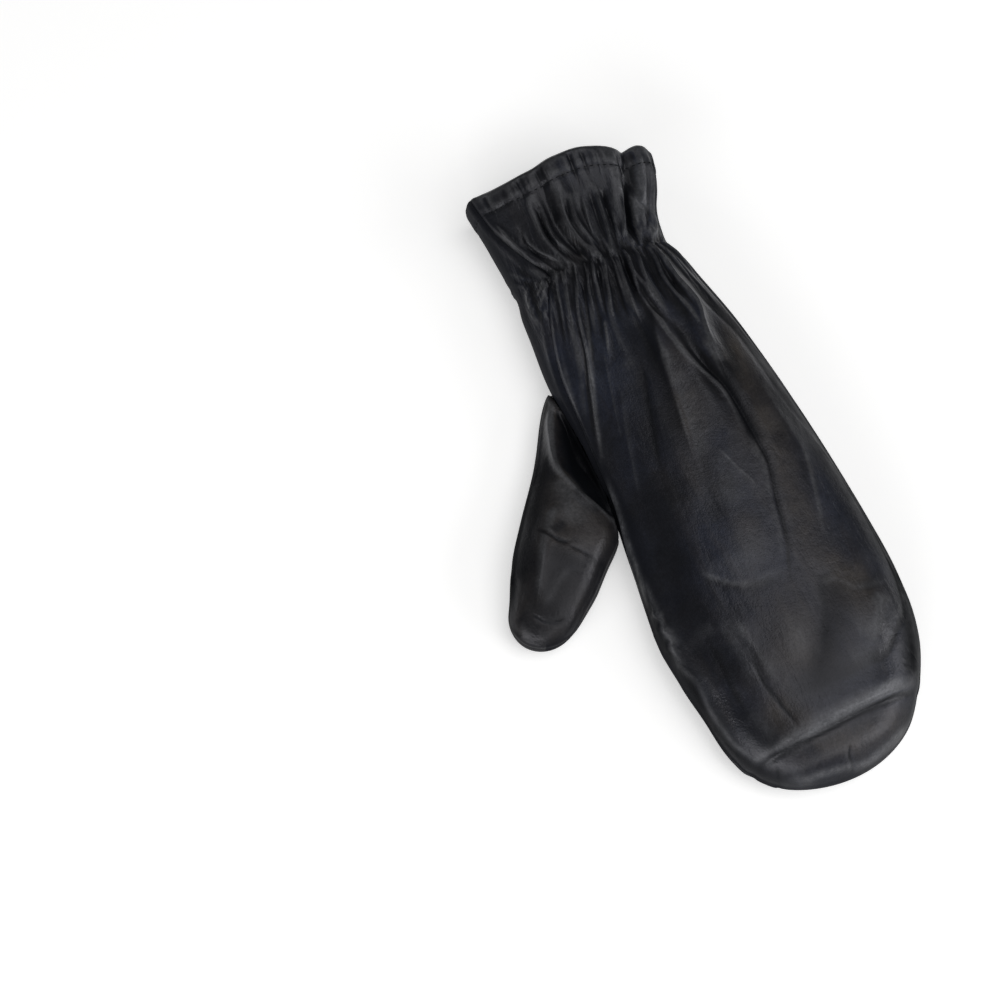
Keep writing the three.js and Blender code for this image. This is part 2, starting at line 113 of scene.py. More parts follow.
# the crease over the fingertips: a bright roll above, a thin dent, and a flatter flap below, in mm
tipCrease = {
    "thumbSide": 0.943, "outerSide": 0.91, "sideFade": 1.3, "ridge": 1.9, "ridgeAt": -3.8, "ridgeBreadth": 2.7,
    "ridgeSlope": 2.6, "dent": -0.8, "dentBreadth": 1.4, "flap": 0.7, "flapAt": 9, "flapBreadth": 5,
}

# fine pleats and creases: rise and breadth in mm, and path. Each step of a path is a place on the leather:
# mm from the open edge, and across from -1 at the thumb's side to 1
backPleats = [
    (.9, 1.5, "23,-.653 32,-.623 38,-.533 43,-.432 49,-.322"),
    (-.8, 1.3, "20,-.664 29,-.672 36,-.603 44,-.462"),
    (1.1, 1.4, "14,-.425 22,-.364 28,-.364 33,-.354 40,-.264 46,-.213 51,-.175"),
    (-1, 1.4, "12,-.455 21,-.414 30,-.404 38,-.324 46,-.253"), (.9, 4, "23,-.274 35,-.165 44,-.124"),
    (-1.6, 1.7, "14,-.096 24,-.095 31,-.085 39,-.035 43,.005 48,.075"),
    (1.3, 1.8, "13,.004 25,-.035 31,-.025 38,.034 44,.094 52,.122"),
    (.9, 1.8, "19,.114 27,.115 34,.104 41,.114 47,.154"),
    (-1.3, 1.7, "17,.214 26,.224 33,.224 41,.214 49,.183"),
    (1.2, 1.3, "17,.294 25,.304 32,.304 40,.283 47,.233 55,.181"),
    (-1.1, 1.6, "18,.364 26,.364 34,.373 42,.353"), (.7, 1.3, "28,.423 37,.403 42,.392 48,.342"),
    (1.4, 1.5, "13,.533 21,.583 25,.613 31,.582 39,.482 44,.422 50,.401"),
    (-1.3, 1.8, "20,.643 31,.637 38,.582 46,.511"), (.9, 2, "19,.693 26,.702 34,.682 41,.631 48,.59"),
    (-1.2, 1.2, "8,.742 17,.753 24,.782 33,.801 41,.76 48,.689"),
    (.8, 2.2, "6,.851 15,.892 24,.892 34,.851 46,.749"),
    (.6, 1.2, "9,.971 16,.992 28,.991 41,.929 48,.887"), (.7, 1.1, "38,.672 46,.61 52,.558"),
    (.7, 1.1, "33,.911 41,.87 49,.788"), (.7, 1.2, "48,-.441 52,-.453 58,-.504"),
    (-.8, 1.3, "50,-.402 63,-.496 74,-.582"),
    (1, 1.3, "49,-.327 59,-.386 66,-.447 73,-.501 86,-.57 100,-.69 113,-.81 126,-.898 136,-.962"),
    (-.9, 2, "76,-.543 90,-.623 100,-.72 113,-.83 122,-.895 133,-.956"),
    (-.9, 1.2, "53,-.255 65,-.347 75,-.424 84,-.479"),
    (.9, 1.1, "48,-.104 56,-.197 61,-.257 69,-.31 78,-.376"), (.8, 1, "49,-.055 56,-.137 62,-.208"),
    (.8, 1, "51,-.016 58,-.058 66,-.139"), (-1, 1.2, "54,-.067 59,-.108 67,-.17 74,-.224 83,-.27"),
    (1.2, 1.2, "49,.074 54,.032 59,-.019 68,-.101 75,-.166 82,-.18"),
    (.5, 1.8, "76,-.275 86,-.352 97,-.459"), (-.9, 1.3, "50,.153 57,.091 65,.03 74,-.026 84,-.063"),
    (1, 1.2, "46,.243 55,.171 63,.129 71,.085 78,.051 92,.001"),
    (-.9, 1.2, "50,.302 57,.23 65,.188 73,.163 82,.117"),
    (.9, 1.1, "49,.362 58,.284 65,.273 71,.279 79,.248"),
    (.9, 1.1, "49,.5 56,.418 62,.358 68,.326 76,.27"),
    (-.9, 1.2, "50,.549 57,.497 64,.446 72,.412 80,.397"),
    (1.2, 1.4, "49,.619 58,.586 66,.535 74,.52 87,.521 98,.504"),
    (.9, 1.1, "50,.698 54,.677 67,.654 75,.648 84,.65 96,.55 110,.46 124,.4"),
    (-.8, 1.2, "52,.648 62,.615 72,.591 82,.584 92,.567"),
    (.8, 1.8, "68,.197 78,.19 84,.195 90,.211 98,.166"), (.5, 1.5, "53,.846 66,.843 80,.853 95,.864"),
    (.9, 1.3, "3,.8 11,.82 23,.81 36,.77 49,.73"), (-.8, 1, "8,.86 20,.865 34,.83 47,.79"),
    (.9, 1, "4,.9 12,.9 22,.92 36,.88 48,.84"), (-.7, .9, "4,.945 14,.95 28,.94 44,.89"),
    (-.9, 1.3, "2,.6 8,.6 18,.66 28,.65 40,.67"), (.8, 1.1, "14,-.36 23,-.36 34,-.35 44,-.26 54,-.2"),
    (-.9, 1.1, "13,-.4 23,-.4 34,-.39 44,-.31 54,-.26"), (.6, 1.1, "14,-.87 24,-.8 37,-.7 50,-.57"),
    (-.6, 1, "24,-.6 34,-.62 43,-.45 51,-.29"), (-.45, 1.2, "1,-.52 5,-.51 10,-.5 15,-.5"),
    (-.5, 1, "1,-.29 6,-.28 12,-.27 18,-.28"), (.4, 1.2, "1,-.2 7,-.19 13,-.18 20,-.17"),
    (-.5, 1, "1,.09 6,.1 12,.11 19,.12"), (-.45, 1.1, "1,.22 6,.23 12,.24 18,.26"),
    (.45, 1.1, "1,.38 6,.38 12,.38 19,.38"), (-.22, 1, "271,-.5 276,-.5 280,-.48 283,-.46"),
    (-.3, 1, "275,.06 279,.02 283,.02 285,-.04"), (.6, .9, "197,-.99 199.5,-.95 201,-.9"),
    (-.5, .8, "200,-.99 203,-.94 205,-.88"), (.7, 1, "204,-1 207,-.94 210,-.88"),
    (-.6, .8, "209,-1 211,-.95 214,-.9"), (.5, .9, "212,-1 215,-.95 219,-.9"),
    (.4, 1.2, "219,-.98 225,-.95 233,-.9"), (.35, .5, "252,.68 255,.74 257,.82"),
    (.35, .5, "255,.66 258,.73 261,.8"), (.35, .5, "248,.76 252,.8 256,.86"),
]

# sharp-crested folds: rise, breadth on the path's left and on its right as it runs to the fingertips, path
backFolds = [
    (1.6, 5, 6, "82,.17 98,.05 111,-.04 124,-.11 138,-.18 154,-.24 170,-.28"),
    (1, 1.4, 2.2, "78,.17 90,.18 102,.2 113,.26 124,.33 138,.33 152,.33"),
    (-1.9, 1.7, 4.5, "96,.27 110,.33 124,.38 140,.37 152,.36 164,.34"),
    (-.7, .9, 1.6, "140,.36 152,.36 162,.35 176,.27 192,.2 206,.1 216,.05"),
    (.45, 1, 1.6, "66,.72 83,.64 96,.54 112,.46 126,.4 140,.39"),
    (.6, 1.2, 5, "120,.7 139,.7 150,.71 161,.7 176,.62 192,.52 204,.45"),
    (-.3, 8, 2.4, "190,-.62 198,-.49 203,-.37 206,-.2 207,-.05 205,.1"),
    (.15, 1, 2.2, "104,-.46 114,-.55 128,-.66 150,-.78 165,-.82"),
    (.25, 1, 2.2, "82,-.37 102,-.54 122,-.68 140,-.76"),
    (-.9, 6, 4, "88,-.09 109,-.27 130,-.43 148,-.54 170,-.6"),
    (.22, .7, .9, "144,-.03 158,.07 166,.14 175,.2"),
    (-.3, .9, 1.8, "228,-.44 236,-.49 243,-.49 254,-.4 262,-.31 268,-.27"),
    (.5, 4, 6, "212,-.45 226,-.44 240,-.4 254,-.34"),
    (-.6, .8, 1.4, "230,.9 236,.84 243,.68 249,.55 251,.4"),
    (-.5, 4, 5, "206,.34 222,.24 238,.1 252,-.08"), (.9, 5, 5, "222,.7 236,.6 248,.4"),
    (-.8, 5, 6, "214,-.7 232,-.72 246,-.7 260,-.56"),
]
# soft swellings: rise, mm from the open edge, place across, half length and half width in mm, lean
backSwells = [
    (1, 190, -.12, 17, 15, 0), (.8, 165, -.15, 16, 11, 0), (.7, 232, -.1, 18, 8, 0), (.6, 140, .62, 24, 7, 0),
]

print("measures ready")


def curveThrough(places, rows):
    # a smooth curve through rows of values, as the solids' own curves run
    places = np.array(places, float)
    rows = np.array(rows, float)
    last = len(places) - 1

    def valueAt(where):
        w = np.clip(where, places[0], places[-1])
        high = np.clip(np.searchsorted(places, w, side="right"), 1, last)
        low = high - 1
        t0, t1 = places[low], places[high]
        before = np.where(low > 0, low - 1, high)
        after = np.where(high < last, high + 1, low)
        half = (t1 - t0) / 2
        pullBefore = half / (t0 - places[before])
        pullAfter = half / (places[after] - t1)
        p = (w - t0) / (t1 - t0)
        a = -pullBefore * p**3 + 2 * pullBefore * p**2 - pullBefore * p
        b = (1 + pullBefore) * p**3 + (-1.5 - 2 * pullBefore) * p**2 + (-0.5 + pullBefore) * p + 1
        c = (-1 - pullAfter) * p**3 + (1.5 + pullAfter) * p**2 + 0.5 * p
        d = pullAfter * p**3 - pullAfter * p**2
        parts = [(a, before), (b, low), (c, high), (d, after)]
        return np.moveaxis(sum(k[..., None] * rows[i] for k, i in parts), -1, 0)

    return valueAt


def softStep(share):
    s = np.clip(share, 0, 1)
    return s * s * (3 - 2 * s)


def bodyStation(at):
    return mitten["cuffLength"] + at * (mitten["cuffLength"] if at < 0 else mitten["handLength"])


def makeBody():
    m = mitten
    rows = []
    for at, wide, shift, tall, edge, thumbSeam, outerSeam in bodySections:
        fullWidth = m["cuffWidth"] if at < 0 else m["bodyWidth"]
        fullHeight = m["cuffHeight"] if at < 0 else m["bodyHeight"]
        width = m["wristWidth"] + (fullWidth - m["wristWidth"]) * wide
        height = m["wristHeight"] + (fullHeight - m["wristHeight"]) * tall
        rows.append((width / 2, shift * m["bodyWidth"], height, edge * height, 0, thumbSeam, outerSeam))
    setback = curveThrough([r[0] for r in edgeSetbacks], [(r[1] * m["hemWidth"],) for r in edgeSetbacks])
    return {
        "length": m["cuffLength"] + m["handLength"], "tip": m["tipLength"],
        "curve": curveThrough([bodyStation(r[0]) for r in bodySections], rows),
        "setback": lambda share, station: setback(share)[0] * np.maximum(0, 1 - station / m["cuffLength"]),
        "placing": Matrix.Translation((m["originX"], m["originY"], 0)),
    }


def makeThumb():
    t = thumbShape
    rows = []
    for at, wide, shift, tall, edge, lift, outerSeam, innerSeam in thumbSections:
        height = tall * t["height"]
        rows.append((wide * t["width"] / 2, shift * t["width"], height, edge * height, lift * t["lift"],
                     outerSeam, innerSeam))
    root = (mitten["originX"] + t["inset"] - mitten["bodyWidth"] / 2,
            mitten["originY"] - mitten["cuffLength"] - t["station"], 0)
    return {
        "length": t["length"], "tip": t["tipLength"],
        "curve": curveThrough([r[0] * t["length"] for r in thumbSections], rows),
        "setback": lambda share, station: 0 * share,
        "placing": Matrix.Translation(root) @ Matrix.Rotation(-math.radians(t["angle"]), 4, "Z"),
    }


body = makeBody()
thumb = makeThumb()


def placeOn(pocket, straight, heading, turn):
    # a point on the smooth pocket: turn runs from the top's middle, 0, over the side, 1, to the underside's, 2
    m = mitten
    spread = np.sin(turn * quarterTurn)
    station = straight + np.sin(heading) * spread * pocket["tip"]
    share = np.cos(heading) * spread
    half, middle, height, edge, lift = pocket["curve"](station)[:5]
    bulge = lambda fullness: np.sqrt(np.maximum(0, 1 - np.abs(spread) ** fullness))
    over = edge + (height - edge) * bulge(m["crownFullness"])
    under = edge * (1 - (1 + m["pressedFlat"]) * bulge(m["underFullness"]))
    up = lift + np.where(turn < 1, over, np.maximum(0, under))
    point = np.stack([middle + share * half, -station - pocket["setback"](share, station), up], -1)
    core = np.stack([middle, -straight, lift + height * m["coreLevel"]], -1)
    return {"point": point, "share": share, "station": station, "half": half, "up": up, "out": point - core}


def normalOn(pocket, straight, heading, turn, out):
    step = 1e-3
    inTip = np.abs(np.sin(heading)) > step
    ds, dh = np.where(inTip, 0, step), np.where(inTip, step, 0)
    pointAt = lambda *spot: placeOn(pocket, *spot)["point"]
    along = pointAt(straight + ds, heading + dh, turn) - pointAt(straight - ds, heading - dh, turn)
    over = pointAt(straight, heading, turn + step) - pointAt(straight, heading, turn - step)
    normal = np.cross(along, over)
    normal /= np.maximum(np.linalg.norm(normal, axis=-1, keepdims=True), 1e-12)
    return np.where((normal * out).sum(-1, keepdims=True) < 0, -normal, normal)


def bigFoldHeight(folds, stationAt, share, station, half):
    total = 0 * share
    for near, far, start, middle, end, rise, breadth in folds:
        low, high = stationAt(near), stationAt(far)
        t = (station - low) / (high - low)
        inside = (t > 0) & (t < 1)
        t = np.clip(t, 0, 1)
        path = start * (1 - t) * (1 - 2 * t) + middle * 4 * t * (1 - t) + end * t * (2 * t - 1)
        wide = mitten["foldBreadth"] * breadth * (0.6 + 0.8 * t)
        away = (share - path) * half / wide
        window = np.sin(math.pi * np.sqrt(t)) * softStep(t / 0.12)
        total = total + np.where(inside, mitten["foldRise"] * rise * window * np.exp(-away * away), 0)
    return total


def creaseHeight(share, station):
    c = tipCrease
    thumbEnd, outerEnd = bodyStation(c["thumbSide"]), bodyStation(c["outerSide"])
    line = thumbEnd + (outerEnd - thumbEnd) * (share + 1) / 2
    past = station - line
    outerHalf = 0.5 + 0.5 * softStep((share + 0.7) / 1.1)
    ridgeBreadth = np.where(past < c["ridgeAt"], c["ridgeSlope"] * c["ridgeBreadth"], c["ridgeBreadth"])
    lift = c["ridge"] * outerHalf * np.exp(-(((past - c["ridgeAt"]) / ridgeBreadth) ** 2))
    lift = lift + c["dent"] * np.exp(-((past / c["dentBreadth"]) ** 2))
    lift = lift + c["flap"] * np.exp(-(((past - c["flapAt"]) / c["flapBreadth"]) ** 2))
    return lift * softStep(c["sideFade"] * (1 - np.abs(share)))


def smoothPath(path, count=24):
    rows = np.array([step.split(",") for step in path.split()], float)
    t = np.linspace(0, len(rows) - 1, count)
    if len(rows) < 3:
        return np.stack([np.interp(t, range(len(rows)), column) for column in rows.T], -1)
    return curveThrough(range(len(rows)), rows)(t).T


def nearPath(pocket, place, path, reach):
    # how far each point lies from a path, how far along it and on which side
    x, u = place["point"][..., 0], place["station"]
    line = smoothPath(path)
    half, middle = pocket["curve"](line[:, 0])[:2]
    lineX = middle + line[:, 1] * half
    near = (u > line[:, 0].min() - reach) & (u < line[:, 0].max() + reach)
    near &= (x > lineX.min() - reach) & (x < lineX.max() + reach)
    px, pu = x[near], u[near]
    best = np.full(px.shape, 1e9)
    where, side = np.zeros(px.shape), np.zeros(px.shape)
    for k in range(len(line) - 1):
        ax, au, bx, bu = lineX[k], line[k, 0], lineX[k + 1], line[k + 1, 0]
        s = np.clip(((px - ax) * (bx - ax) + (pu - au) * (bu - au)) / ((bx - ax) ** 2 + (bu - au) ** 2), 0, 1)
        d = np.hypot(px - ax - s * (bx - ax), pu - au - s * (bu - au))
        closer = d < best
        best = np.where(closer, d, best)
        where = np.where(closer, (k + s) / (len(line) - 1), where)
        side = np.where(closer, (px - ax) * (bu - au) - (pu - au) * (bx - ax), side)
    return near, best, where, side


def crestShape(away):
    return 1.22 * np.exp(-1.15 * np.sqrt(away * away + 0.03) - 0.35 * away * away)


def alongPaths(rows, pocket, place, reach, fadeIn, fadeOut, ends, profile, join=np.add):
    # each row has a strength, one breadth or one for each side of the path, and the path
    total = 0 * place["station"]
    for strength, *breadths, path in rows:
        near, best, where, side = nearPath(pocket, place, path, reach * max(breadths))
        fade = softStep(where / fadeIn + ends) * softStep((1 - where) / fadeOut + ends)
        away = best / np.where(side > 0, breadths[-1], breadths[0])
        total[near] = join(total[near], strength * fade * profile(away, strength))
    return total


def pleatHeight(pleats, pocket, place, fadeIn=0.25, fadeOut=0.55):
    profile = lambda away, rise: crestShape(away) if rise > 0 else np.exp(-away**1.4)
    return alongPaths(pleats, pocket, place, 3, fadeIn, fadeOut, 0, profile)


def foldedHeight(folds, pocket, place):
    # crests that come to a line, steeper on one side than on the other
    profile = lambda away, rise: np.exp(-np.sqrt(away * away + 0.02) * 1.2 - 0.12 * away * away)
    return alongPaths(folds, pocket, place, 4, 0.25, 0.45, 0, profile)


def toneOf(strokes, pocket, place):
    # painted highlights and painted shade, each from none to all
    profile = lambda away, amount: np.exp(-away * away)
    return np.clip(alongPaths(strokes, pocket, place, 2.2, 0.2, 0.25, 0.1, profile, np.maximum), 0, 1)


def spotsOn(spots, pocket, place):
    # soft round spots, a height or an amount
    x, u = place["point"][..., 0], place["station"]
    total = 0 * x
    for amount, at, across, long, wide, lean in spots:
        half, middle = pocket["curve"](np.array([float(at)]))[:2, 0]
        du, dx = (u - at) / long, (x - middle - across * half - lean * (u - at)) / wide
        total = total + amount * np.exp(-(du * du + dx * dx))
    return total


# fine gathers by the elastic: way, shortest, longest, spacing, rise, first place across on the back
gatherRuns = [(1, 12, 42, 1, 1, -0.72), (-1, 6, 20, 1.2, 0.6, -1)]


def gatherHeight(side, share, station, half):
    # fine sharp pleats that run both ways from the elastic
    dice = np.random.RandomState(11 if side > 0 else 23)
    elastic = mitten["cuffLength"] + 1
    total = 0 * share
    for way, shortest, longest, spread, height, first in gatherRuns:
        spot = first if side > 0 else -1
        while spot < 1:
            spot += dice.uniform(0.08, 0.14) * spread
            rise = dice.uniform(0.6, 1.25) * height
            breadth = dice.uniform(0.5, 0.8)
            length = dice.uniform(shortest, longest)
            perMm = -0.0078 * softStep((0.9 - spot) / 0.4) * softStep((spot + 0.95) / 0.6)
            if way < 0:
                perMm = (spot - 0.12) * 0.02
            lean = dice.uniform(-0.02, 0.02) + length * perMm
            past = (station - elastic) * way
            t = np.clip(past / length, 0, 1)
            away = (share - spot - lean * t) * half / (breadth * (1 + 0.4 * t))
            window = softStep(past / 1.4 + 0.5) * softStep((1 - t) / 0.7)
            if side > 0 and way > 0:
                window = window * softStep((spot + 0.8) / 0.35)
            total = total + rise * window * crestShape(away)
    return total


def pocketLimits(pocket, points, gap):
    # how far across a pocket each point lies, and the leather over and under it, in the pocket's own place
    half, middle, height, edge, lift = pocket["curve"](-points[..., 1])[:5]
    share = np.abs(points[..., 0] - middle) / (half + gap)
    bulge = lambda fullness: np.sqrt(1 - np.clip(share, 0, 1) ** fullness)
    over = lift + edge + (height - edge) * bulge(mitten["crownFullness"]) + gap
    under = lift + edge * (1 - (1 + mitten["pressedFlat"]) * bulge(mitten["underFullness"])) - gap
    return share, over, under


def gridOn(pocket, side, run, across):
    # a panel's grid, whose edges lie on the seams and whose end runs round the tip
    tipStart = pocket["length"] - pocket["tip"]
    past = np.maximum(0, (run - tipStart) / pocket["tip"])
    flatX = across * np.sqrt(1 - past * past / 2)
    flatY = past * np.sqrt(1 - across * across / 2)
    heading = np.arctan2(flatY, flatX)
    reach = np.hypot(flatX, flatY)
    straight = np.minimum(run, tipStart)
    rim = pocket["curve"](straight + np.sin(heading) * pocket["tip"])
    seam = rim[5] + (rim[6] - rim[5]) * (np.cos(heading) + 1) / 2
    turn = reach * seam if side > 0 else 2 - reach * (2 - seam)
    place = placeOn(pocket, straight, heading, turn)
    place["normal"] = normalOn(pocket, straight, heading, turn, place["out"])
    return place


def blurred(grid, rowsWide, columnsWide):
    # a box average over the neighbours
    for axis, wide in ((0, rowsWide), (1, columnsWide)):
        pad = [(0, 0), (0, 0)]
        pad[axis] = (wide + 1, wide)
        total = np.cumsum(np.pad(grid, pad, mode="edge"), axis=axis)
        count = grid.shape[axis]
        high = np.take(total, range(2 * wide + 1, 2 * wide + 1 + count), axis=axis)
        grid = (high - np.take(total, range(0, count), axis=axis)) / (2 * wide + 1)
    return grid


def spacing(stops, counts):
    parts = [np.linspace(a, b, n, endpoint=False) for a, b, n in zip(stops, stops[1:], counts)]
    return np.append(np.concatenate(parts), stops[-1])


def columnPlaces(count):
    s = np.linspace(-1, 1, count + 1)
    return np.arcsin(np.clip((5 * s - s**5) / 4, -1, 1)) / quarterTurn


def seamDistance(points, startIsSeam):
    across = np.linalg.norm(np.diff(points, axis=1), axis=-1)
    down = np.linalg.norm(np.diff(points, axis=0), axis=-1)
    left = np.pad(np.cumsum(across, 1), ((0, 0), (1, 0)))
    right = np.pad(np.cumsum(across[:, ::-1], 1)[:, ::-1], ((0, 0), (0, 1)))
    end = np.pad(np.cumsum(down[::-1], 0)[::-1], ((0, 1), (0, 0)))
    away = np.minimum(np.minimum(left, right), end)
    if startIsSeam:
        away = np.minimum(away, np.pad(np.cumsum(down, 0), ((1, 0), (0, 0))))
    return away


# crest, rim, shade and light carry painted highlights and painted shade, and brown on the back is partly a
# painted reflection
tones = ("crest", "brown", "gather", "rim", "shade", "light")     # what each panel's points tell the leather

# the rolls beside the seams, in mm
seamLook = {
    "grooveBreadth": 0.8, "rollAt": 2.4, "rollBreadth": 1.4, "roll": 0.25, "rollAtTip": 0.5,
    "rollByThumb": 0.35, "tipFrom": 235, "tipOver": 30, "calmBy": 3, "thinnest": 0.9,
}


def sewnPanel(name, pocket, side, runs, across, folds, fine, hole=None, startIsSeam=False):
    m, seam = mitten, seamLook
    isBody = pocket is body
    place = gridOn(pocket, side, runs, across)
    point, normal, up, station = place["point"], place["normal"], place["up"], place["station"]
    press = softStep(up / m["pressHeight"])
    coarse = folds(place) * press
    away = seamDistance(point, startIsSeam)
    detail = fine(place) * press * (0.25 + 0.75 * softStep(away / seam["calmBy"]))
    tipPart = softStep((station - seam["tipFrom"]) / seam["tipOver"]) if isBody else 0.3
    roll = seam["roll"] + seam["rollAtTip"] * tipPart + seam["rollByThumb"] * (place["share"] < -0.5) * isBody
    seamRoll = -m["seamGroove"] * np.exp(-((away / seam["grooveBreadth"]) ** 2))
    seamRoll = seamRoll + roll * np.exp(-(((away - seam["rollAt"]) / seam["rollBreadth"]) ** 2))
    convex = coarse + detail
    detail = detail + seamRoll * softStep((up - 0.5) / 3)
    outer = point + normal * (coarse + detail)[..., None]
    wall = m["leatherWall"]
    if isBody:
        wall = wall + (m["hemWall"] - wall) * (1 - softStep(station - m["hemWidth"]))
    inner = point + normal * np.minimum(coarse * 0.9 - wall, coarse + detail - seam["thinnest"])[..., None]
    outer[..., 2] = np.maximum(0, outer[..., 2])
    inner[..., 2] = np.maximum(wall * 0.9, inner[..., 2])
    for edge, beside in ((np.s_[:, 0], np.s_[:, 1]), (np.s_[:, -1], np.s_[:, -2]), (-1, -2)):
        step = outer[beside] - outer[edge]
        step *= (m["seamGap"] / 2) / np.maximum(np.linalg.norm(step, axis=-1, keepdims=True), 1e-6)
        outer[edge] += step
        inner[edge] += step
    # crest marks the convex places, lightened as rubbing and painted highlight, and the valleys, darkened with
    # painted shade
    crest = (convex - blurred(convex, 2, 3)) / 0.3 + (convex - blurred(convex, 5, 7)) / 0.7
    crest = np.clip(crest, -1, 1)
    # brown: on the back, patches partly the leather's own tone and partly a painted reflection
    brown = np.full_like(crest, 0 if isBody else 0.6)
    if isBody and side > 0:
        brown = np.clip(spotsOn(brownAndSheenPatches, body, place), 0, 1)
    toFrame = np.array(pocket["placing"])
    move = lambda p: (p @ toFrame[:3, :3].T + toFrame[:3, 3]) * mm
    return {
        "name": name, "runs": runs, "outer": move(outer), "inner": move(inner), "crest": crest, "brown": brown,
        "station": station, "hole": hole, "normal": normal @ toFrame[:3, :3].T,
        "gather": np.exp(-np.abs(station - m["cuffLength"]) / 24) if isBody else 0 * crest,
        # shade and light are painted shade and painted highlights; rim dulls and darkens the steep sides as
        # painted shade
        "shade": shadeOn(pocket, side, place), "light": lightOn(pocket, side, place),
        "rim": softStep((0.88 - np.abs(normal[..., 2])) / 0.4) * rimShare(pocket, place),
        "sewn": np.stack([point[..., 0], station], -1) / 10,
    }


def newPiece(name, bm, materials):
    mesh = bpy.data.meshes.new(name)
    bm.to_mesh(mesh)
    bm.free()
    for material in materials:
        mesh.materials.append(material)
    piece = bpy.data.objects.new(name, mesh)
    bpy.context.scene.collection.objects.link(piece)
    return piece, mesh


def makePanelMesh(panel, materials):
    rows, columns = panel["crest"].shape
    bm = bmesh.new()
    bmesh.ops.create_grid(bm, x_segments=columns - 1, y_segments=rows - 1, size=1)
    spot = bm.verts.layers.int.new("spot")
    for k, v in enumerate(sorted(bm.verts, key=lambda v: (v.co.y, v.co.x))):
        v[spot] = k
    outer = panel["outer"].reshape(-1, 3)
    inner = panel["inner"].reshape(-1, 3)
    if panel["hole"] is not None:
        cut = panel["hole"](panel["outer"]).reshape(-1)
        doomed = [f for f in bm.faces if all(cut[v[spot]] for v in f.verts)]
        bmesh.ops.delete(bm, geom=doomed, context="FACES")
    lining = bm.faces[:]
    grown = bmesh.ops.extrude_face_region(bm, geom=lining, use_keep_orig=True)["geom"]
    outerVerts = {g for g in grown if isinstance(g, bmesh.types.BMVert)}
    for v in bm.verts:
        v.co = outer[v[spot]] if v in outerVerts else inner[v[spot]]
    station = panel["station"].reshape(-1)
    for f in lining:
        if f.is_valid and min(station[v[spot]] for v in f.verts) > mitten["hemWidth"]:
            f.material_index = 1
    bmesh.ops.recalc_face_normals(bm, faces=bm.faces[:])
    if bm.calc_volume(signed=True) < 0:
        bmesh.ops.reverse_faces(bm, faces=bm.faces[:])
    for f in bm.faces:
        f.smooth = True
    isOuter = np.array([v in outerVerts for v in bm.verts])
    spots = np.array([v[spot] for v in bm.verts])
    bm.verts.layers.int.remove(spot)
    piece, mesh = newPiece(panel["name"], bm, materials)
    mesh.set_sharp_from_angle(angle=math.radians(60))
    for key in tones:
        values = np.where(isOuter, panel[key].reshape(-1)[spots], 0).astype(np.float32)
        mesh.attributes.new(key, "FLOAT", "POINT").data.foreach_set("value", values)
    corners = np.empty(len(mesh.loops), int)
    mesh.loops.foreach_get("vertex_index", corners)
    flatPlace = panel["sewn"].reshape(-1, 2)[spots][corners]
    mesh.uv_layers.new(name="sewn").data.foreach_set("uv", flatPlace.astype(np.float32).reshape(-1))
    print(panel["name"], len(mesh.polygons), "faces")
    return piece


# brownish patches on the back, partly the leather's own tone and partly a painted reflection: amount, mm from
# the open edge, place across, half length and width, lean
brownAndSheenPatches = [
    (1, 125, -.06, 26, 7, -.22), (.8, 110, .64, 22, 5, -.25), (.9, 150, .48, 34, 8, -.1),
    (.7, 200, .38, 24, 8, .05), (.5, 186, -.05, 8, 6, 0), (.8, 222, .55, 16, 10, .1),
    (.7, 236, -.1, 22, 15, -.1), (.9, 258, -.38, 9, 8, .2), (.9, 274, .2, 6, 34, 0), (.6, 40, -.14, 9, 4, -.1),
    (.5, 80, .2, 10, 4, -.1), (.3, 60, .15, 10, 12, 0),
]
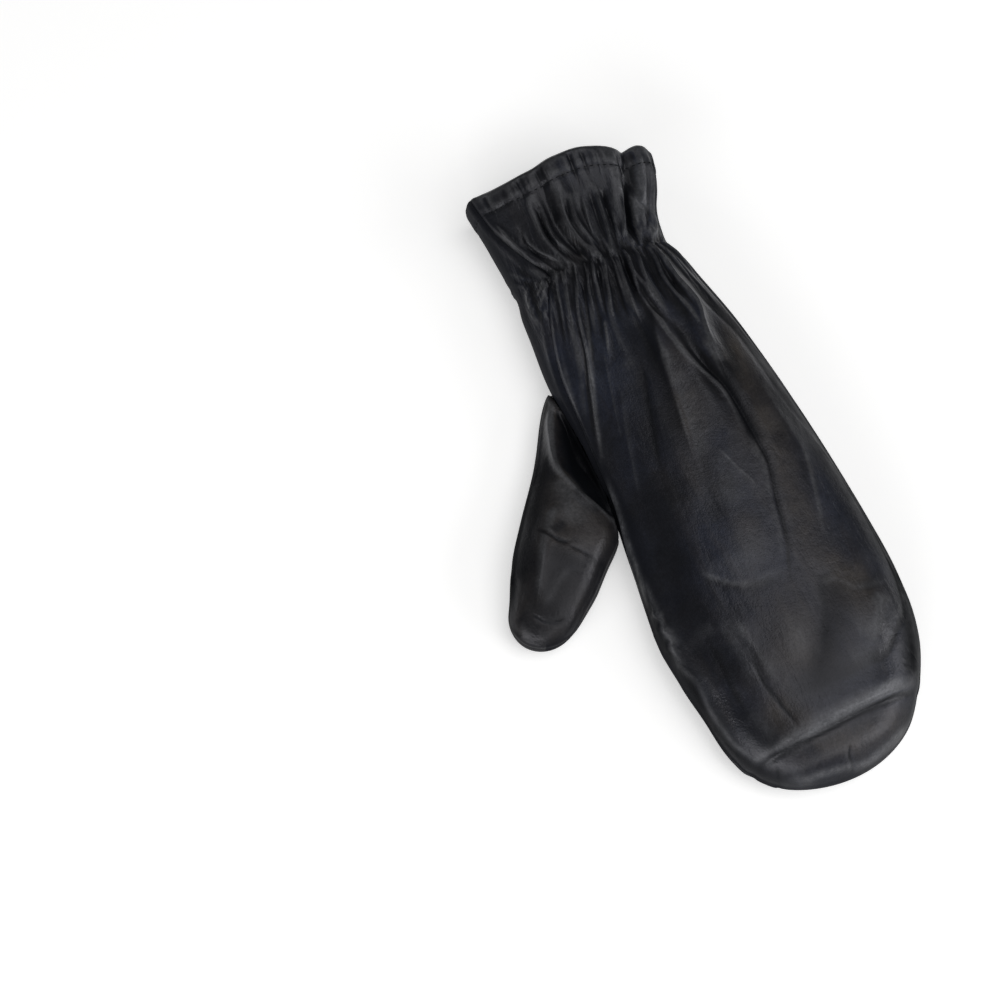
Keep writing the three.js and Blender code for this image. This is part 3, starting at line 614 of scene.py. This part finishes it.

# painted highlights and painted shade on the back: amount, breadth on the left and on the right in mm, path
backPaintedHighlights = [
    (.42, .9, 5, "108,.01 118,-.04 130,-.09 142,-.15 152,-.22"), (.2, 9, 9, "149,-.06 162,-.02 176,.01"),
    (.15, 6, 6, "189,-.11 195,-.08 201,-.06"),
    (.7, .8, 1.2, "193,-.56 198,-.47 202,-.37 206,-.23 206,-.08 206,.09"),
    (.22, .4, .5, "158,.08 164,.12 170,.16"), (.15, .7, .9, "110,-.52 128,-.64 143,-.74 153,-.79"),
    (.5, .8, .8, "83,-.8 100,-.89 116,-.96 130,-.975 138,-.98"),
    (.4, .6, .7, "66,-.36 82,-.5 100,-.67 116,-.82 128,-.91 136,-.97"),
    (1, .9, 1.1, "136,-.96 154,-.98 168,-.985 182,-.985 196,-.985"),
    (.75, .9, 1.2, "180,-.97 192,-.96 200,-.95 211,-.94 220,-.96 232,-.94"),
    (.65, 1.4, 1.4, "198,-.98 202,-.93"), (.65, 1.4, 2, "207,-.95 211,-.93 216,-.93"),
    (.65, .8, .9, "229,-.92 238,-.925 245,-.91 255,-.83 261,-.75 267,-.64 269,-.52"),
    (.35, 5, 5, "238,.36 237,.59 232,.81"), (.3, 4, 4, "248,.24 247,.39 243,.59"),
    (1, 2.2, 1.2, "270,-.56 267,-.26 265.8,-.1 264,.11 262,.33 260.4,.53 259.4,.78"),
    (.8, 1.3, 1.3, "276,-.47 280,-.33 281,-.19 282,-.05 283,.11 281,.27 277,.46 273,.57"),
    (.3, 2, 5, "213,-.53 222,-.55 233,-.55 244,-.57"), (.3, 2, 2, "251,-.68 257,-.57 265,-.48"),
    (.4, .8, .8, "214,.21 216,.41 222,.57 222,.91"), (.55, .6, .7, "19,-.88 29,-.79 39,-.7 53,-.56"),
    (.55, .6, .7, "15,-.38 26,-.38 38,-.28 48,-.14"), (.5, .6, .7, "23,-.64 32,-.61 43,-.45 50,-.39"),
    (.5, 2.2, 3, "18,.02 22,.03 28,.06"), (.35, 1.8, 3, "26,-.25 32,-.2 38,-.16"),
    (.7, 2.5, 2.5, "6,.82 15,.82 24,.8 34,.8"), (.45, .5, .6, "18,.16 26,.11 35,.1 46,.17"),
    (.45, .5, .6, "24,.29 32,.33 43,.29 52,.26"), (.45, .5, .6, "16,.54 27,.62 40,.51 50,.4"),
    (.4, .5, .6, "17,.7 26,.72 36,.7 48,.66"),
    (.4, .6, .5, "72,.7 82,.71 102,.8 134,.8 161,.92 186,.955"),
]
backShades = [
    (.5, 6, 5, "80,-.02 92,-.12 109,-.27 127,-.4 146,-.52"),
    (.6, 10, .9, "78,.2 85,.14 98,.02 111,-.07 124,-.14 138,-.21 154,-.28"),
    (.85, 2, 4.5, "112,.5 118,.45 132,.38 146,.34 153,.34"),
    (.35, 10, 6, "150,-.62 170,-.66 190,-.68 212,-.72"),
    (.5, 5, 6, "246,-.72 255,-.66 263,-.55 268,-.45"), (.3, 5, 6, "198,-.78 212,-.79 227,-.82 241,-.81"),
    (.45, 5, 8, "212,.4 224,.32 236,.15 247,-.04 256,-.14"),
    (.95, 4, 6, "200,.97 222,.96 234,.91 246,.84 256,.76 264,.66"),
    (.88, 1.6, .9, "150,-1 180,-.995 202,-.985 218,-.975 230,-.96 244,-.945 252,-.885 260,-.8 "
     "267,-.695 274,-.565 279,-.42"),
    (.75, .6, .7, "268,-.65 269,-.49 269,-.32 269,-.13 268,.09 266.5,.3 265,.49 263,.7"),
    (.25, .5, .5, "234,-.46 244,-.45 253,-.4 262,-.31"), (.8, 2, 1.6, "0,.7 9,.72 18,.73 26,.74"),
    (.35, 5, 5, "20,-.5 30,-.48 42,-.36"), (.4, 2, 3, "16,-.1 26,-.08 38,-.02 48,.04"),
    (.7, 6, 7, "118,.8 140,.84 164,.88 186,.9 208,.93 225,.95"),
    (.95, 1.2, 1.5, "134,.84 148,.85 164,.92 186,.94 210,.93 222,.92 235,.87 246,.81 256,.72"),
    (.8, .7, 6, "56,.78 82,.75 102,.84 134,.84 161,.95 186,.98 205,.98"),
    (.6, 1, 1.8, "17,.2 26,.17 35,.16 46,.2"), (.6, 1, 1.8, "20,.35 30,.37 42,.33 52,.29"),
    (.6, 1, 1.8, "15,.6 26,.67 39,.56 50,.44"), (.5, 1, 1.6, "16,-.33 26,-.33 38,-.24 48,-.12"),
    (.5, 1, 1.6, "24,-.6 33,-.58 44,-.42 51,-.36"), (.22, 16, 16, "58,-.75 60,-.3 60,.3 60,.8"),
    (.3, 9, 8, "3,-.95 4,-.4 4,.2 6,.9"), (.42, 20, 20, "24,-.9 28,-.4 30,.2 28,.8"),
    (.16, 5, 6, "270,-.4 272,0 268,.5"),
]
# painted highlights and painted shade on the thumb, in the same columns
thumbPaintedHighlights = [
    (.6, .8, 1.5, "11,-.9 24,-.86 33,-.76 45,-.62 49,-.48 55,-.19"),
    (.5, 4, 7, "51,-.45 57,-.3 64,-.1 74,0"), (.32, 1.5, 1.8, "80,-.53 88,-.35 97,-.29 104,-.25"),
    (.4, 1.6, 1.8, "106,-.01 101,.08 95,.17 90,.33"), (.12, 3, 3, "77,.6 84,.75 95,.75"),
]
thumbShades = [
    (.9, 8, 7, "36,-.92 52,-.95 67,-.94 82,-.88 94,-.84 107,-.7"),
    (.6, 5, 5, "110,-.55 114,-.25 117,.1"), (.55, 1.4, 1.6, "55,-.1 60,.2 64,.6"),
    (1, 4, 3, "40,-1 56,-1 70,-.99 82,-.97 94,-.95 106,-.86 114,-.6"),
    (.5, .7, .7, "76,-.69 78,-.4 79,-.12 81,.12"), (.35, .7, .7, "81,.1 82,.35 83,.6 84,.88"),
    (.5, .7, .7, "110,-.28 111,.02 111,.37 108,.7"), (.5, 1.6, 2, "77,-.27 74,-.2 71,-.1"),
    (.4, 2, 2.5, "105,.34 101,.35 97,.37"), (.4, 3, 3, "113,.3 115,.15 117,0"), (.4, 3, 3, "85,.5 86,.75"),
    (.3, .7, .7, "92,.25 91,.45 91,.65 93,.88"), (.4, 3, 3, "82,.88 90,.86 101,.8"),
    (.58, 13, 14, "82,.2 92,.15 104,.15 120,.1"),
]


def rimShare(pocket, place):
    # the sides are dulled and darkened as painted shade, but the leather round the fingertips and at the
    # thumb's inner side keeps its sheen
    station, share = place["station"], place["share"]
    if pocket is body:
        return 0.935 - 0.15 * softStep((station - 236) / 24)
    innerSide = 0.3 * softStep((share - 0.2) / 0.5)
    return 0.98 - innerSide - 0.3 * softStep((station - 100) / 14) * (share < 0.2)


def lightOn(pocket, side, place):
    # painted highlights, on the upper side only
    if side < 0:
        return 0 * place["station"]
    return toneOf(backPaintedHighlights if pocket is body else thumbPaintedHighlights, pocket, place)


def shadeOn(pocket, side, place):
    # painted shade; the underside takes part where it shows beside the seam
    seen = 1 if side > 0 else softStep((place["up"] - 2) / 3)
    if pocket is body:
        return toneOf(backShades, body, place) * seen
    return np.maximum(toneOf(thumbShades, thumb, place), 0.95 * hollowShade(place)) * seen


def hemAndWrist(side):
    dice = np.random.RandomState(31 if side > 0 else 37)
    dents = [(dice.uniform(-1, 1), dice.uniform(0.7, 1.6), dice.uniform(-0.35, 0.55)) for _ in range(24)]

    def fine(place):
        run, share, half = place["station"], place["share"], place["half"]
        hem = 0.3 * softStep(run / 1.6) * softStep((9.6 - run) / 2.4)
        hem -= 0.22 * np.exp(-(((run - 9.9) / 0.8) ** 2))
        hem -= 1.1 * (1 - np.clip(run / 1.4, 0, 1)) ** 2
        for at, breadth, depth in dents:
            dent = depth * np.exp(-(((share - at) * half / breadth) ** 2))
            hem -= dent * softStep((13 - run) / 5) * softStep(run / 3)
        total = hem + gatherHeight(side, share, run, half)
        if side > 0:
            sharper = [(rise * 1.35, breadth * 0.75, path) if breadth < 2.4 else (rise, breadth, path)
                       for rise, breadth, path in backPleats]
            total = total + pleatHeight(sharper, body, place)
            total = total + foldedHeight(backFolds, body, place) + spotsOn(backSwells, body, place)
        return total

    return fine


def bodyFolds(place):
    share, station, half = place["share"], place["station"], place["half"]
    m = mitten
    pucker = m["puckerRise"] * np.cos(math.pi * share * m["wristWidth"] / m["puckerPitch"])
    pucker = pucker * np.exp(-np.abs(station - m["cuffLength"]) / m["puckerReach"])
    gathered = bigFoldHeight(bigFolds, bodyStation, share, station, half) * m["foldSoftness"]
    return gathered + pucker + creaseHeight(share, station)


def thumbFolds(place):
    stationAt = lambda at: at * thumbShape["length"]
    return bigFoldHeight(thumbBigFolds, stationAt, place["share"], place["station"], place["half"])


# the thumb's creases: rise, breadth and path, in mm from its root and across
thumbPleats = [
    (2.2, 2.2, "12,-.9 31,-.74 46,-.5 56,-.03 64,.66"),
    (-2.2, 4.5, "14,-.75 25,-.5 40,-.1 48,.4 56,.9"), (-.35, .8, "76,-.62 78,-.35 80,-.05 79,.2"),
    (-.35, .8, "110,-.3 112,0 112,.3 109,.6"), (.25, 1.8, "78,-.42 92,-.33 107,-.25"),
    (-.22, .8, "81,.1 82,.35 83,.6 84,.88"), (-.18, .8, "92,.25 91,.45 91,.65 93,.88"),
]


def hollowShade(place):
    # the dip between the thumb's ridge and the palm, which is sunk in and darkened with painted shade
    station, share = place["station"], place["share"]
    ridge = np.interp(station, [12, 31, 46, 56, 64], [-0.9, -0.74, -0.5, -0.03, 0.66])
    return softStep((share - ridge - 0.06) / 0.3) * softStep((68 - station) / 8)


def thumbFine(place):
    return pleatHeight(thumbPleats, thumb, place, 0.2, 0.3) - 1.5 * hollowShade(place)


def thumbHole(points):
    # where the palm opens into the thumb
    inverse = np.array(thumb["placing"].inverted())
    p = (points / mm) @ inverse[:3, :3].T + inverse[:3, 3]
    share, over, under = pocketLimits(thumb, p, -mitten["leatherWall"])
    z = p[..., 2]
    return (share < 1) & (z < over) & (z > np.maximum(under, 2)) & (p[..., 1] < 0)


def thumbRuns(side, across, rowCount):
    # each column of the thumb starts where it comes out of the palm
    trial = np.linspace(0, thumb["length"] - thumb["tip"], 260)
    grid = gridOn(thumb, side, *np.meshgrid(trial, across, indexing="ij"))
    toBody = np.array(body["placing"].inverted() @ thumb["placing"])
    p = grid["point"] @ toBody[:3, :3].T + toBody[:3, 3]
    share, over, under = pocketLimits(body, p, 0.5)
    inside = (share < 1) & (p[..., 2] <= over) & (p[..., 2] >= np.minimum(under, 5))
    lastInside = np.where(inside.any(0), len(trial) - 1 - np.argmax(inside[::-1], axis=0), 0)
    firstOutside = trial[np.minimum(lastInside + 1, len(trial) - 1)]
    start = np.convolve(np.pad(firstOutside, 2, mode="edge"), np.ones(5) / 5, mode="valid")
    start = np.maximum(start, firstOutside - 0.2)
    v = np.linspace(0, 1, rowCount + 1)[:, None]
    return start + (thumb["length"] - start) * v


def addNode(tree, kind, settings=None, **inputs):
    node = tree.nodes.new("ShaderNode" + kind)
    for key, value in (settings or {}).items():
        setattr(node, key, value)
    for key, value in inputs.items():
        slot = node.inputs[int(key[1:]) if key[1:].isdigit() else key.replace("_", " ")]
        if isinstance(value, bpy.types.NodeSocket):
            tree.links.new(value, slot)
        else:
            slot.default_value = value
    return node


def mixColour(tree, share, a, b):
    return addNode(tree, "Mix", {"data_type": "RGBA", "clamp_factor": True}, i0=share, i6=a, i7=b).outputs[2]


# colours: the dark one for hollows and shade strokes is painted shade, the edge colour is the sides' painted
# shade, the lightest is a painted highlight, and the crests' rubbed colour is rubbing with a painted highlight
leatherLook = {
    "navy": (0.0072, 0.0078, 0.0106, 1), "blue": (0.0105, 0.0132, 0.0225, 1),
    "brown": (0.0305, 0.026, 0.0222, 1), "rubbedAndSheen": (0.064, 0.065, 0.069, 1), "paintedHighlight": (0.095, 0.097, 0.104, 1),
    "paintedShade": (0.003, 0.0035, 0.0045, 1), "edge": (0.012, 0.0128, 0.016, 1), "dullness": 0.92,
    "roughLow": 0.29, "roughHigh": 0.41, "grainSize": 1300.0, "grainDepth": 0.0001, "wrinkleDepth": 0.0003,
    "pleatDepth": 0.0012, "waveDepth": 0.004, "dentDepth": 0.002,
}


def newTree(name, **inputs):
    material = bpy.data.materials.new(name)
    material.use_nodes = True
    tree = material.node_tree
    tree.nodes.clear()
    shader = addNode(tree, "BsdfPrincipled", **inputs)
    out = addNode(tree, "OutputMaterial", Surface=shader.outputs["BSDF"])
    return material, tree, shader, out


def noiseNode(tree, where, scale, detail, rough=0.6, twist=0.0):
    return addNode(tree, "TexNoise", Vector=where, Scale=scale, Detail=detail, Roughness=rough,
                   Distortion=twist).outputs[0]


def makeLeather(name, look):
    material, tree, shader, out = newTree(name, Specular_IOR_Level=0.42, Specular_Tint=(0.93, 0.925, 1, 1),
                                          Coat_Weight=0.1, Coat_Roughness=0.3)
    maths = lambda how, a, b=0.0: addNode(tree, "Math", {"operation": how}, i0=a, i1=b).outputs[0]
    times = lambda a, b: maths("MULTIPLY", a, b)
    span = lambda value, low, high, toLow, toHigh: addNode(
        tree, "MapRange", i0=value, i1=low, i2=high, i3=toLow, i4=toHigh).outputs[0]
    place = addNode(tree, "TexCoord").outputs["Object"]
    sewn = addNode(tree, "UVMap", {"uv_map": "sewn"}).outputs[0]
    toneNode = lambda key: addNode(tree, "Attribute", {"attribute_name": key}).outputs["Fac"]
    crest, brown, gather, rim, shade, light = map(toneNode, tones)
    broad = noiseNode(tree, place, 22.0, 4.0)
    cloud = noiseNode(tree, place, 60.0, 5.0)
    mottle = noiseNode(tree, place, 190.0, 4.0)
    fleck = noiseNode(tree, place, 850.0, 3.0)
    # streaks run along the mitten: the sewn map is in cm across and along
    along = addNode(tree, "Mapping", Vector=sewn, Scale=(0.95, 0.2, 1.0)).outputs[0]
    streak = noiseNode(tree, along, 1.0, 3.0, 0.5, 0.7)
    finer = addNode(tree, "Mapping", Vector=sewn, Scale=(7.0, 0.9, 1.0)).outputs[0]
    pleat = noiseNode(tree, finer, 1.0, 3.0, 0.55, 0.3)
    # navy base with blue and brown areas, the brown partly a painted reflection; rubbing with a painted
    # highlight on the crests, painted shade in the hollows, then the painted highlight and painted shade
    # strokes
    colour = mixColour(tree, span(broad, 0.42, 0.6, 0, 0.85), look["navy"], look["blue"])
    brownShare = times(brown, span(cloud, 0.35, 0.55, 0.5, 1.0))
    brownShare = maths("ADD", brownShare, span(streak, 0.53, 0.62, 0.0, 0.15))
    crestRubAndSheen = times(span(crest, 0.1, 0.75, 0, 0.85), span(mottle, 0.35, 0.65, 0.6, 1.0))
    paintedValleyShade = span(crest, -0.1, -0.6, 0, 0.9)
    # painted highlights and painted shade, broken up by noise
    light = times(light, span(mottle, 0.3, 0.7, 0.5, 1.0))
    shade = times(shade, span(cloud, 0.35, 0.65, 0.8, 1.06))
    parts = (brownShare, "brown"), (crestRubAndSheen, "rubbedAndSheen"), (paintedValleyShade, "paintedShade"), (light, "paintedHighlight"), (shade, "paintedShade")
    for part, tint in parts:
        colour = mixColour(tree, part, colour, look[tint])
    speckle = times(span(fleck, 0.32, 0.68, 0.75, 1.28), span(cloud, 0.35, 0.65, 0.75, 1.25))
    colour = addNode(tree, "VectorMath", {"operation": "SCALE"}, i0=colour, i3=speckle).outputs[0]
    tree.links.new(colour, shader.inputs["Base Color"])
    rough = maths("ADD", span(cloud, 0.3, 0.7, look["roughLow"], look["roughHigh"]),
                  span(mottle, 0.3, 0.7, -0.05, 0.05))
    tree.links.new(rough, shader.inputs["Roughness"])
    # fine grain, hair-fine creases, pulled pleats by the elastic and long soft waves
    grain = addNode(tree, "TexVoronoi", Vector=place, Scale=look["grainSize"]).outputs["Distance"]
    stretched = addNode(tree, "Mapping", Vector=place, Scale=(260.0, 70.0, 160.0)).outputs[0]
    wrinkle = noiseNode(tree, stretched, 1.0, 4.0, 0.55, 0.8)
    ridge = span(maths("ABSOLUTE", maths("SUBTRACT", wrinkle, 0.5)), 0.0, 0.07, 0.0, 1.0)
    pulled = times(pleat, gather)
    reliefs = ((grain, 0.4, "grainDepth"), (mottle, 0.2, "wrinkleDepth"), (ridge, 0.1, "wrinkleDepth"),
               (pulled, 0.9, "pleatDepth"), (streak, 0.15, "waveDepth"), (cloud, 0.25, "dentDepth"))
    below = {}
    for height, strength, depth in reliefs:
        bump = addNode(tree, "Bump", Strength=strength, Distance=look[depth], Height=height, **below).outputs[0]
        below = {"Normal": bump}
    tree.links.new(bump, shader.inputs["Normal"])
    # the sides are duller than the top: painted shade turns them, and the painted shade strokes, to a dark
    # diffuse, while painted highlights keep the sheen
    dullColour = mixColour(tree, shade, look["edge"], look["paintedShade"])
    dull = addNode(tree, "BsdfDiffuse", Color=dullColour, Roughness=0.9, Normal=bump)
    dullShare = times(maths("MAXIMUM", rim, shade), look["dullness"])
    dullShare = times(dullShare, maths("SUBTRACT", 1.0, light))
    mix = addNode(tree, "MixShader", i0=dullShare, i1=shader.outputs[0], i2=dull.outputs[0])
    tree.links.new(mix.outputs[0], out.inputs["Surface"])
    return material


# the knitted lining's ribs and the thread's twist
yarnLooks = {
    "knitLining": {"way": "X", "scale": 180.0, "wobble": 1.5, "rough": 0.95, "strength": 0.6, "depth": 0.0004,
                   "low": (0.006, 0.006, 0.007, 1), "high": (0.02, 0.02, 0.023, 1)},
    "stitchThread": {"way": "DIAGONAL", "scale": 900.0, "wobble": 0.0, "rough": 0.85, "strength": 0.5,
                     "depth": 0.0001, "low": (0.003, 0.0035, 0.0045, 1), "high": (0.009, 0.010, 0.012, 1)},
}


def makeYarn(name):
    look = yarnLooks[name]
    material, tree, shader, out = newTree(name, Roughness=look["rough"], Specular_IOR_Level=0.15)
    place = addNode(tree, "TexCoord").outputs["Object"]
    ribs = addNode(tree, "TexWave", {"wave_type": "BANDS", "bands_direction": look["way"]}, Vector=place,
                   Scale=look["scale"], Distortion=look["wobble"], Detail=2.0).outputs[1]
    tree.links.new(mixColour(tree, ribs, look["low"], look["high"]), shader.inputs["Base Color"])
    bump = addNode(tree, "Bump", Strength=look["strength"], Distance=look["depth"], Height=ribs).outputs[0]
    tree.links.new(bump, shader.inputs["Normal"])
    return material


leather = makeLeather("navyLeather", leatherLook)
lining, thread = makeYarn("knitLining"), makeYarn("stitchThread")
print("materials ready")

# rows of points between these stops in mm, and columns
bodyGrid = {"stops": [0, 100, 226, 244, 270, 285], "counts": [112, 60, 12, 42, 12],
            "columns": 200, "palmColumns": 110}
thumbGrid = {"rows": 150, "columns": 88}

bodyRuns = spacing(bodyGrid["stops"], bodyGrid["counts"])
backGrid = np.meshgrid(bodyRuns, columnPlaces(bodyGrid["columns"]), indexing="ij")
palmGrid = np.meshgrid(bodyRuns, columnPlaces(bodyGrid["palmColumns"]), indexing="ij")
backPanel = sewnPanel("back_leather", body, 1, *backGrid, bodyFolds, hemAndWrist(1))
palmPanel = sewnPanel("palm_leather", body, -1, *palmGrid, bodyFolds, hemAndWrist(-1), hole=thumbHole)
thumbAcross = columnPlaces(thumbGrid["columns"])
thumbPanels = []
for side, name in ((1, "thumb_outer_leather"), (-1, "thumb_inner_leather")):
    runs = thumbRuns(side, thumbAcross, thumbGrid["rows"])
    across = np.broadcast_to(thumbAcross, runs.shape)
    thumbPanels.append(sewnPanel(name, thumb, side, runs, across, thumbFolds, thumbFine, startIsSeam=True))
print("leather shaped")

nodesFor = {"back_leather": "back_panel", "palm_leather": "palm_panel",
            "thumb_outer_leather": "thumb_outer", "thumb_inner_leather": "thumb_inner"}
for panel in (backPanel, palmPanel, *thumbPanels):
    piece = makePanelMesh(panel, [leather, lining])
    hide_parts(nodesFor[panel["name"]])
    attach(piece, "root")

# stitches: mm from the open edge, pitch, length and thickness
stitching = {"hem_stitches": (9.9, 2.8, 1.7, 0.5), "elastic_stitches": (49.5, 2.3, 0.8, 0.2)}


def sewRow(bm, panel, run, pitch, length, thickness):
    row = int(np.argmin(np.abs(panel["runs"][:, 0] - run)))
    line = panel["outer"][row] / mm
    normals = panel["normal"][row]
    along = np.concatenate([[0], np.cumsum(np.linalg.norm(np.diff(line, axis=0), axis=1))])
    on = lambda values, s: np.array([np.interp(s, along, values[:, k]) for k in range(3)])
    count = 0
    for s in np.arange(pitch, along[-1] - pitch / 2, pitch):
        at, ahead = on(line, s), on(line, s + 0.5)
        if at[2] < 1.5:     # none where the mitten lies on the floor
            continue
        out = Vector(on(normals, s)).normalized()
        way = Vector(ahead - at).normalized()
        cross = out.cross(way).normalized()
        turn = Matrix((way, cross, way.cross(cross))).transposed().to_4x4()
        size = Matrix.Diagonal((length / 2 * mm, thickness / 2 * mm, thickness / 2 * mm, 1))
        where = Matrix.Translation((Vector(at) + out * 0.05) * mm)
        bmesh.ops.create_uvsphere(bm, u_segments=6, v_segments=4, radius=1, matrix=where @ turn @ size)
        count += 1
    return count


def sewPiece(name):
    bm = bmesh.new()
    count = sum(sewRow(bm, panel, *stitching[name]) for panel in (backPanel, palmPanel))
    bmesh.ops.recalc_face_normals(bm, faces=bm.faces[:])
    for f in bm.faces:
        f.smooth = True
    piece = newPiece(name, bm, [thread])[0]
    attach(piece, "root")
    print(name, count, "stitches")


for name in stitching:
    sewPiece(name)

studio = {
    "cameraBack": (-0.1522, -0.3772, 0.9135), "cameraAim": (-0.05785, 0.0211, 0),
    "cameraDistance": 0.945, "cameraAngle": 24,
    "floorSize": 30, "floorColour": (0.93, 0.93, 0.925, 1), "floorGlow": 0.4,
    "worldColour": (1, 1, 1, 1), "worldStrength": 0.1,
    # lights: degrees round and up, distance, width, height in metres, power
    "topRightSoft": (65, 72, 2.2, 2.2, 2.0, 17.5), "frontLeftLow": (-50, 22, 2.4, 2.4, 0.9, 30),
    "frontRightLow": (55, 24, 2.4, 2.4, 0.9, 22), "frontSoft": (12, 42, 2.2, 1.6, 0.5, 5.5),
}
scene = bpy.context.scene
scene.view_settings.view_transform = "Standard"


def makeFloor():
    bm = bmesh.new()
    bmesh.ops.create_grid(bm, x_segments=1, y_segments=1, size=studio["floorSize"] / 2)
    material = newTree("paleFloor", Base_Color=studio["floorColour"], Roughness=0.8, Specular_IOR_Level=0.1,
                       Emission_Color=(1, 1, 1, 1), Emission_Strength=studio["floorGlow"])[0]
    floor = newPiece("floor", bm, [material])[0]


def areaLight(name, azimuth, elevation, distance, width, height, power):
    light = bpy.data.lights.new(name, "AREA")
    light.shape = "RECTANGLE"
    light.size, light.size_y = width, height
    light.energy = power
    lamp = bpy.data.objects.new(name, light)
    scene.collection.objects.link(lamp)
    a, e = math.radians(azimuth), math.radians(elevation)
    toward = Vector((math.sin(a) * math.cos(e), -math.cos(a) * math.cos(e), math.sin(e)))
    lamp.location = toward * distance
    lamp.rotation_mode = "QUATERNION"
    lamp.rotation_quaternion = toward.to_track_quat("Z", "Y")


makeFloor()
for name in ("topRightSoft", "frontLeftLow", "frontRightLow", "frontSoft"):
    areaLight(name, *studio[name])

world = bpy.data.worlds.new("studioWorld")
world.use_nodes = True
sky = world.node_tree.nodes["Background"]
sky.inputs["Color"].default_value = studio["worldColour"]
sky.inputs["Strength"].default_value = studio["worldStrength"]
scene.world = world

camera = bpy.data.cameras.new("camera")
camera.sensor_width = 36
camera.lens = 18 / math.tan(math.radians(studio["cameraAngle"] / 2))
viewer = bpy.data.objects.new("camera", camera)
scene.collection.objects.link(viewer)
back = Vector(studio["cameraBack"]).normalized()
viewer.location = Vector(studio["cameraAim"]) + back * studio["cameraDistance"]
viewer.rotation_mode = "QUATERNION"
viewer.rotation_quaternion = (-back).to_track_quat("-Z", "Y")
camera.clip_start, camera.clip_end = 0.01, 100
scene.camera = viewer
print("studio ready")
